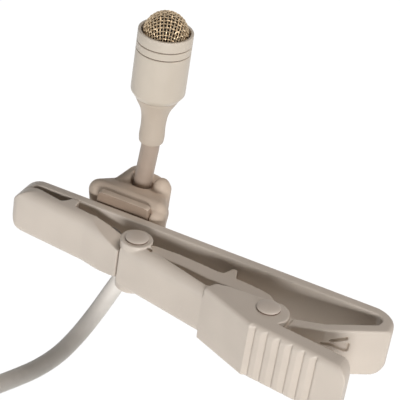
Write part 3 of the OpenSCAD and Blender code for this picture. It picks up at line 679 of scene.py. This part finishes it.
def prism(outline, low, high, ways=(X, Y, Z), at=(0, 0, 0)):
    """A closed solid in mm: an outline in two of the ways, carried along the third."""
    at, count = Vector(at), len(outline)
    points = [at + ways[0] * u + ways[1] * v + ways[2] * w for w in (low, high)
              for u, v in outline]
    faces = [list(range(count)), [count + k for k in range(count)]]
    faces += [[k, (k + 1) % count, count + (k + 1) % count, count + k] for k in range(count)]
    return piece_of("solid", [p * mm for p in points], faces, None)


def side_cut(outline):
    """An outline in x and z, carried across the clip."""
    return prism(outline, -14, 12, (X, Z, Y))


def drum(x, y, radius, low, high, top=None):
    """A cylinder, or a cone where a second radius is given, about an upright axis."""
    return turned("solid", [(0, low), (radius, low), (top or radius, high), (0, high)],
                  (x, y, 0), None, steps=48)


def copy_of(node):
    """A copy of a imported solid, with its vertices joined."""
    mesh = nodes[node].data
    points = [v.co.copy() for v in mesh.vertices]
    return piece_of("solid", points, [list(f.vertices) for f in mesh.polygons], None)


def worked(base, add=(), keep=(), cut=()):
    """Adds solids to a base, keeps what lies in others, then cuts the last ones away."""
    for how, tools in (("UNION", add), ("INTERSECT", keep), ("DIFFERENCE", cut)):
        for tool in tools:
            step = base.modifiers.new("step", "BOOLEAN")
            step.operation, step.object, step.solver = how, tool, "EXACT"
    graph = bpy.context.evaluated_depsgraph_get()
    mesh = bpy.data.meshes.new_from_object(base.evaluated_get(graph))
    base.modifiers.clear()
    base.data = mesh
    for tool in [*add, *keep, *cut]:
        bpy.data.objects.remove(tool)
    return base


# %% The frame: nose, beam, bend and return arm
half, pin_a, pin_b = 2.6, Vector((10.8, -2.8)), Vector((26.25, -5.95))
arm_mid, bend_x, lip = Vector((31.6, -4.65)), 37.3, 0.45
nose_end = fillet((-1.4, 0), 2.6, 90, 270, 24)
bend_end = fillet((bend_x - 1.2, 1.2 - half), 1.2, 270, 360)
bend_end += fillet((bend_x - 0.5, half - 0.5), 0.5, 0, 90)
beam = [(-3.7, -lip), (-3.7, 0.4)] + fillet((-3.1, 0.4), 0.6, 180, 90)
beam += fillet((bend_x - 2.7, -1.7), 2.7, 90, -8, 24)
beam += fillet((bend_x - 1.0, -1.45), 0.98, -20, -56)
beam += [arm_mid + Vector((0.3, -0.774)), pin_b + Vector((1.6, -1.05)),
         pin_b + Vector((1.6, 0.2)), arm_mid + Vector((-0.1, 0.225))]
beam += fillet((bend_x - 2.3, -1.0), 0.95, -50, 90, 16) + [(-2.15, 0), (-2.35, -lip)]
eye_root = [pin_b + Vector(p) for p in ((0.6, 1.1), (2.6, 0.72), (2.6, -0.8), (0.6, -1.2))]
slope = math.radians(33)
arm_ways = (Vector((math.cos(slope), math.sin(slope), 0)), Z,
            Vector((math.sin(slope), -math.cos(slope), 0)))
arm_face = (arm_mid.x + 0.3, arm_mid.y - 0.774, 0)
upper = [(0.2, 1.45), (2.3, 1.9), (2.4, 1.5), (0.9, 1.25)]
lower = [(-1.4, 1.2), (2.65, 1.15), (2.6, 0.15), (2.2, 0.15), (0.8, 0.75)]
frame_shape = worked(prism(beam, -half, half), keep=[side_cut(nose_end + bend_end)])
frame_shape = worked(
    frame_shape,
    add=[drum(*pin_b, 1.35, -2.35, 2.35), prism(eye_root, -2.35, 2.35)],
    cut=[drum(*pin_b, 2.43, 2.35, 4), drum(*pin_b, 2.43, -4, -2.35), drum(*pin_b, 0.59, -4, 4),
         prism(upper, -0.5, 2, arm_ways, arm_face), prism(lower, -0.5, 2, arm_ways, arm_face),
         turned("solid", [(0, -1), (0.95, -1), (0.95, 0.3), (0.6, 0.3), (0.6, 2), (0, 2)],
                (mic_x, 0, 0), None, axis="Y", steps=48)])

# %% The front jaw: its nose is rounded from the side and its tail tapers to the seam
jaw_shape = worked(
    copy_of("front_jaw"),
    keep=[prism([(-8, -9), (30, -9), (30, 5), (-2.3, 5), (-2.3, -0.5), (-8, -0.5)], -4, 4)],
    cut=[*[side_cut([(5.6, s * half), (9.7, s * 1.55), (9.7, s * 4), (5.6, s * 4)])
           for s in (1, -1)],
         prism([(9.6, -3.32), (9.95, -3.32), (9.95, -9), (9.18, -9)], -4, 4),
         side_cut([(-6, -3.5), (-6, 3.5), (-1.4, 3.5)] + nose_end + [(-1.4, -3.5)])])


# %% The lever: a channel with a flared, ribbed thumb piece
def bar(a, b, radius, half, depth=8):
    """A bar from a to b in plan whose outer long edges are rounded."""
    a, b = Vector(a), Vector(b)
    run_on = (b - a).normalized()
    profile = [(depth, -half), (depth, half)]
    profile += fillet((radius, half - radius), radius, 90, 180)
    profile += fillet((radius, radius - half), radius, 180, 270)
    return prism(profile, 0, (b - a).length,
                 (Vector((-run_on.y, run_on.x, 0)), Z, Vector((*run_on, 0))), (*a, 0))


lever_a, lever_b = Vector((9.74, -4.35)), Vector((19.9, -6.6))
lever_c, lever_d = Vector((25.7, -9.31)), Vector((35.95, -10.66))
front_half, lever_half, slot_front, slot_rear = 2.65, 3.05, 1.85, 2.45
thumb_t, end_r, web, rib_step, rib_deep = 1.95, 1.3, 0.9, 1.3, 0.36
thumb_u = (lever_d - lever_c).normalized()
thumb_n = Vector((-thumb_u.y, thumb_u.x))
thumb_turn = math.degrees(math.atan2(thumb_u.y, thumb_u.x))
thumb_in = lever_c + thumb_u * 2.55 + thumb_n * thumb_t
plan = [(lever_a.x, pin_a.y), (12.3, pin_a.y), (13.0, -3.5), (15.7, -4.3), (18.9, -5.3),
        (19.6, -5.5), (20.5, -5.25), (21.7, -4.95), (25.0, -4.78)]
plan += fillet(pin_b + Vector((0.4, -0.35)), 1.8, 75, -50, 12) + [thumb_in]
plan += fillet(lever_d - thumb_u * end_r + thumb_n * (thumb_t - end_r), end_r, 90 + thumb_turn,
               thumb_turn, 8)
plan += [lever_d - Vector((0, 1)), lever_c - Vector((0, 1.5)), lever_b - Vector((0, 1.5)),
         (lever_a.x, -5.35)]
ends = [(8.7, -lever_half)] + fillet((lever_d.x - end_r, end_r - lever_half), end_r, 270, 360)
ends += fillet((lever_d.x - end_r, lever_half - end_r), end_r, 0, 90) + [(8.7, lever_half)]


def inward(a, b):
    """How far a web of this thickness goes in from the outer line from a to b."""
    way = (b - a).normalized()
    return Vector((-way.y, way.x)) * web


ab, bc = inward(lever_a, lever_b), inward(lever_b, lever_c)
front_slot = [(6.7, lever_a.y + ab.y), lever_a + ab, lever_b + ab, (20.3, 2), (6.7, 2)]
rear_slot = [(20.2, 2), lever_b + bc + Vector((0.3, 0)), lever_c + bc + Vector((-0.3, 0.3)),
             thumb_in + Vector((-1.5, -0.05)), thumb_in, thumb_in + Vector((6, 0)),
             thumb_in + Vector((6, 9))]
rib = [(0, -1), (0, 0), (rib_step * 0.5, rib_deep), (rib_step * 0.55, -0.05),
       (rib_step * 0.55, -1)]
thumb_ways = (Vector((*thumb_u, 0)), Vector((*thumb_n, 0)), Z)
ribs = [prism([(u + 0.02 + i * rib_step, v) for u, v in rib], -4.5, 4.5, thumb_ways,
              (*lever_c, 0)) for i in range(6)]
notch = [(0, 0), (0.62, 0), (0.62, 0.34), (0, 0.34)]
notch_turn = math.radians(-25)
notch_ways = (Vector((math.cos(notch_turn), math.sin(notch_turn), 0)),
              Vector((-math.sin(notch_turn), math.cos(notch_turn), 0)), Z)
bars = worked(bar(lever_a, lever_b + Vector((0.4, -0.09)), 1.1, front_half),
              add=[bar(lever_b + Vector((-0.05, 0)), lever_c + Vector((0.05, 0)), 0.35,
                       lever_half), bar(lever_c, lever_d, 0.65, lever_half)])
lever_shape = worked(prism(plan, -lever_half, lever_half), keep=[side_cut(ends), bars])
lever_shape = worked(
    lever_shape,
    add=[drum(*pin_a, 1.62, slot_front, front_half + 0.15),
         drum(*pin_a, 1.62, -front_half - 0.15, -slot_front)],
    cut=[prism(front_slot, -slot_front, slot_front), prism(rear_slot, -slot_rear, slot_rear),
         drum(*pin_a, 1.25, -slot_front, slot_front),
         prism(notch, 2.1, 3.5, notch_ways, (12.25, -3.52, 0)),
         prism(notch, -3.5, -2.1, notch_ways, (12.25, -3.52, 0))] + ribs)

# %% [markdown]
# The holder is soft, so it is built from balls: each hull wraps a few of them like a sack,
# and together they give the shoulder, the cheek that comes forward, the lug beside the
# cable and the one behind it. A flared hole takes the cable.


# %% The cable holder
def sack(*balls):
    """The hull round balls given as x, y, z and radius in mm, from the bore's middle."""
    shape = bmesh.new()
    for x, y, z, radius in balls:
        spot = Matrix.Translation(Vector((bore[0] + x, bore[1] + y, z)) * mm)
        bmesh.ops.create_uvsphere(shape, u_segments=24, v_segments=14, radius=radius * mm,
                                  matrix=spot)
    points = [v.co.copy() for v in shape.verts]
    shape.free()
    shape = bmesh.new()
    for p in points:
        shape.verts.new(p)
    hull = bmesh.ops.convex_hull(shape, input=shape.verts[:])
    spare = {g for g in hull["geom_interior"] + hull["geom_unused"]
             if isinstance(g, bmesh.types.BMVert)}
    bmesh.ops.delete(shape, geom=list(spare), context="VERTS")
    mesh = bpy.data.meshes.new("sack")
    shape.to_mesh(mesh)
    shape.free()
    made = bpy.data.objects.new("sack", mesh)
    bpy.context.scene.collection.objects.link(made)
    return made


bore_r, flare_r = 1.0, 1.24
barrel = [(0, -3)] + fillet((2.35, -2.3), 0.7, 270, 360) + fillet((2.15, 2.0), 0.9, 0, 90)
holder_shape = worked(
    sack((-3.3, -3.2, 2.55, 1.1), (3.3, -3.2, 2.55, 1.1), (-2.4, -3.2, -1.9, 1.1),
         (2.6, -3.2, -1.9, 1.1), (-2.0, -0.4, 1.75, 1.1), (2.0, -0.4, 1.75, 1.1)),
    add=[sack((3.4, -3.9, 1.9, 1.25), (3.1, -3.9, -1.2, 1.25), (2.7, -1.6, 1.2, 1.25)),
         sack((2.25, -0.15, 3.55, 0.85), (2.55, -0.1, 3.3, 0.75), (2.3, -0.6, 0.8, 1.1),
              (1.6, 0.6, 0.6, 1.0)),
         sack((-0.3, 1.75, 3.65, 0.7), (-1.5, 1.1, 3.05, 0.7), (-2.2, -1.6, 2.4, 0.8),
              (-0.8, 1.3, 0.6, 1.0)),
         turned("solid", barrel + [(0, 2.9)], (*bore, 0), None, steps=64),
         prism([(4.45, 2.05), (9.65, 2.05), (9.65, 3.25), (4.45, 3.25)], -2.7, 3.2)],
    cut=[drum(*bore, bore_r, -6, 6), drum(*bore, bore_r, 2.45, 2.9, flare_r),
         drum(*bore, flare_r, 2.895, 6.5), drum(*bore, bore_r, -3.1, -6),
         prism([(4.1, 1.0), (10.0, 1.0), (10.0, 2.07), (4.1, 2.07)], -3.75, 3.65)])

# %% [markdown]
# A mould leaves a small radius on every edge, inside and out. Bevelling each edge by hand
# would break where short edges meet, so each solid is skinned again with a fine even mesh
# and eased a little. The finer the mesh and the fewer the passes, the tighter the radius, so
# the soft holder gets the most passes.


# %% Round every edge of a solid
def softened(made, node, name, material, cell, passes, body):
    """Skins a solid in an even mesh of cells of this size in mm, then eases it."""
    made.name = name
    skin = made.modifiers.new("skin", "REMESH")
    skin.mode = "VOXEL"
    skin.voxel_size = cell * mm
    ease = made.modifiers.new("ease", "SMOOTH")
    ease.factor = 0.5
    ease.iterations = passes
    graph = bpy.context.evaluated_depsgraph_get()
    mesh = bpy.data.meshes.new_from_object(made.evaluated_get(graph))
    made.modifiers.clear()
    made.data = mesh
    mesh.name = name
    mesh.shade_smooth()
    mesh.materials.clear()
    mesh.materials.append(material)
    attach(made, body)
    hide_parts(node)
    print(name, "faces:", len(mesh.polygons))
    return made


# %% Skin the mouldings
softened(frame_shape, "clip_frame", "clip_beam", clip_finish, 0.093, 4, "frame")
softened(jaw_shape, "front_jaw", "clip_jaw", clip_finish, 0.08, 5, "jaw")
softened(lever_shape, "lever", "clip_lever", clip_finish, 0.083, 3, "lever")
plate = softened(copy_of("holder_plate"), "holder_plate", "swivel_plate", plate_side_shade, 0.07, 8,
                 "swivel")
plate.data.materials.append(holder_finish)
# Upward faces take the holder's rubber and all others the darker colour: painted shade on the
# plate's sides.
for face in plate.data.polygons:
    face.material_index = int(face.normal.z > 0.6)
softened(holder_shape, "cable_holder", "soft_holder", holder_finish, 0.085, 20, "swivel")

# %% [markdown]
# ## Finishes on the pieces that stay as they are
# The stud, the ring under the dome, the capsule's parts and the plug keep their packed
# solids. Each gets its finish in the material slot of its own object.

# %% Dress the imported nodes
kept = {
    "holder_stud": steel_finish, "grille_seat": steel_finish, "acoustic_felt": felt_finish,
    "capsule_can": can_finish, "diaphragm_ring": gold_finish, "diaphragm": foil_finish,
    "spacer_ring": film_finish, "backplate": gold_finish, "insulator_cup": white_finish,
    "capsule_board": board_finish, "capsule_seal": black_rubber, "plug_boot": black_rubber,
    "plug_shell": shell_finish, "locking_collar": collar_finish, "jack_sleeve": gold_finish,
    "jack_ring": gold_finish, "jack_tip": gold_finish, "jack_insulators": black_finish,
}
for name, material in kept.items():
    node = nodes[name]
    node.data.materials.clear()
    node.data.materials.append(material)
print("packed nodes dressed:", len(kept))

# %% [markdown]
# ## The table and the light
# The clip is shown on plain white. The table is a pale floor that takes a soft
# shadow, and whatever the camera, a reflection or a clear surface sees beyond it is white.

# %% The table
floor_mesh = bpy.data.meshes.new("table")
table_half = 1.5
floor_mesh.from_pydata([(x * table_half, y * table_half, table_z * mm)
                        for x, y in ((-1, -1), (1, -1), (1, 1), (-1, 1))], [],
                       [(0, 1, 2, 3)])
floor = bpy.data.objects.new("table", floor_mesh)
bpy.context.scene.collection.objects.link(floor)
paper = Finish("table_paper")
paper.use(colour=tone(226, 223, 218), roughness=0.9)
glow = paper.add("ShaderNodeEmission", {"Color": (1, 1, 1, 1), "Strength": 1.06})
path = paper.add("ShaderNodeLightPath")
seen = paper.add("ShaderNodeMath", {0: path.outputs["Is Camera Ray"],
                                    1: path.outputs["Is Glossy Ray"]}, operation="MAXIMUM")
share = paper.add("ShaderNodeMapRange", {"Value": seen.outputs[0], "To Min": 0.40,
                                         "To Max": 0.96})
blend = paper.add("ShaderNodeMixShader", {0: share.outputs[0]})
paper.tree.links.new(paper.shader.outputs[0], blend.inputs[1])
paper.tree.links.new(glow.outputs[0], blend.inputs[2])
paper.tree.links.new(blend.outputs[0], paper.out.inputs[0])
floor_mesh.materials.append(paper.material)

# %% The world
world = bpy.data.worlds.new("studio")
bpy.context.scene.world = world
world.use_nodes = True
air = world.node_tree
air.nodes.clear()
far = air.nodes.new("ShaderNodeOutputWorld")
shine = air.nodes.new("ShaderNodeBackground")
white = air.nodes.new("ShaderNodeBackground")
rays = air.nodes.new("ShaderNodeLightPath")
first = air.nodes.new("ShaderNodeMath")
second = air.nodes.new("ShaderNodeMath")
choose = air.nodes.new("ShaderNodeMixShader")
shine.inputs["Color"].default_value = (1.0, 0.97, 0.94, 1)
shine.inputs["Strength"].default_value = 0.04
white.inputs["Color"].default_value = (1, 1, 1, 1)
white.inputs["Strength"].default_value = 1.0
first.operation = second.operation = "MAXIMUM"
air.links.new(rays.outputs["Is Camera Ray"], first.inputs[0])
air.links.new(rays.outputs["Is Glossy Ray"], first.inputs[1])
air.links.new(first.outputs[0], second.inputs[0])
air.links.new(rays.outputs["Is Transmission Ray"], second.inputs[1])
air.links.new(second.outputs[0], choose.inputs[0])
air.links.new(shine.outputs[0], choose.inputs[1])
air.links.new(white.outputs[0], choose.inputs[2])
air.links.new(choose.outputs[0], far.inputs[0])


# %% The lamps
def softbox(name, spot, aim, size, watts, colour=(1, 1, 1)):
    """A lamp at spot, facing aim, with its width and height, all in mm."""
    lamp = bpy.data.lights.new(name, "AREA")
    lamp.shape = "RECTANGLE"
    lamp.size, lamp.size_y = size[0] * mm, size[1] * mm
    lamp.energy = watts
    lamp.color = colour
    made = bpy.data.objects.new(name, lamp)
    bpy.context.scene.collection.objects.link(made)
    towards = (Vector(aim) - Vector(spot)).normalized()
    made.matrix_world = Matrix.LocRotScale(Vector(spot) * mm, towards.to_track_quat("-Z", "Y"),
                                           None)


softbox("key_light", (170, -310, 34), (12, -2, 2), (150, 70), 0.78)
softbox("side_light", (-200, -260, 20), (12, -2, 2), (120, 60), 0.12)
softbox("top_light", (170, 70, 300), (12, 0, 2), (200, 200), 0.48, (1.0, 0.93, 0.87))
bpy.context.scene.view_settings.view_transform = "Standard"
